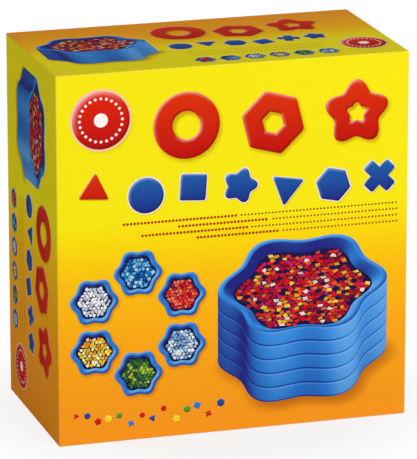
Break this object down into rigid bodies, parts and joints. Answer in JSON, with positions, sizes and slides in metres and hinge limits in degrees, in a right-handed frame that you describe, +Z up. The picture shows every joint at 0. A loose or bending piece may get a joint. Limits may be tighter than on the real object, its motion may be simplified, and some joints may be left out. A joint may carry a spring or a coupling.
{
  "type": "puzzle sorter",
  "caption": "Rigid cardboard box with a full-depth lift-off lid, standing on its side and holding a stack of jigsaw-shaped plastic sorting trays that lift out.",
  "frame": {"origin": "middle of the face that the box stands on", "axes": "+Z up, +X to the right of a person facing the lid; the lid is the front and lifts off along -Y"},
  "size_m": [0.192, 0.102, 0.2],
  "materials": {
    "printed_paper": "gloss",
    "base_paper": "gloss",
    "greyboard": "matt",
    "stay_tape": "matt",
    "tray_plastic": "gloss"
  },
  "bodies": {
    "base": {"base_board": "greyboard", "base_corner_stays": "stay_tape", "base_wrap": "base_paper"},
    "tray_1": {"tray_1": "tray_plastic"},
    "tray_2": {"tray_2": "tray_plastic"},
    "tray_3": {"tray_3": "tray_plastic"},
    "tray_4": {"tray_4": "tray_plastic"},
    "tray_5": {"tray_5": "tray_plastic"},
    "tray_6": {"tray_6": "tray_plastic"},
    "lid": {"lid_board": "greyboard", "lid_corner_stays": "stay_tape", "lid_wrap": "printed_paper"}
  },
  "joints": [
    {"name": "tray_1_lift", "type": "slide", "parent": "base", "child": "tray_1", "axis": [0, -1, 0], "range_m": [0, 0.1086]},
    {"name": "tray_2_lift", "type": "slide", "parent": "tray_1", "child": "tray_2", "axis": [0, -1, 0], "range_m": [0, 0.0926]},
    {"name": "tray_3_lift", "type": "slide", "parent": "tray_2", "child": "tray_3", "axis": [0, -1, 0], "range_m": [0, 0.0766]},
    {"name": "tray_4_lift", "type": "slide", "parent": "tray_3", "child": "tray_4", "axis": [0, -1, 0], "range_m": [0, 0.0606]},
    {"name": "tray_5_lift", "type": "slide", "parent": "tray_4", "child": "tray_5", "axis": [0, -1, 0], "range_m": [0, 0.0446]},
    {"name": "tray_6_lift", "type": "slide", "parent": "tray_5", "child": "tray_6", "axis": [0, -1, 0], "range_m": [0, 0.0286]},
    {"name": "lid_lift", "type": "slide", "parent": "tray_6", "child": "lid", "axis": [0, -1, 0], "range_m": [0, 0.12]}
  ]
}
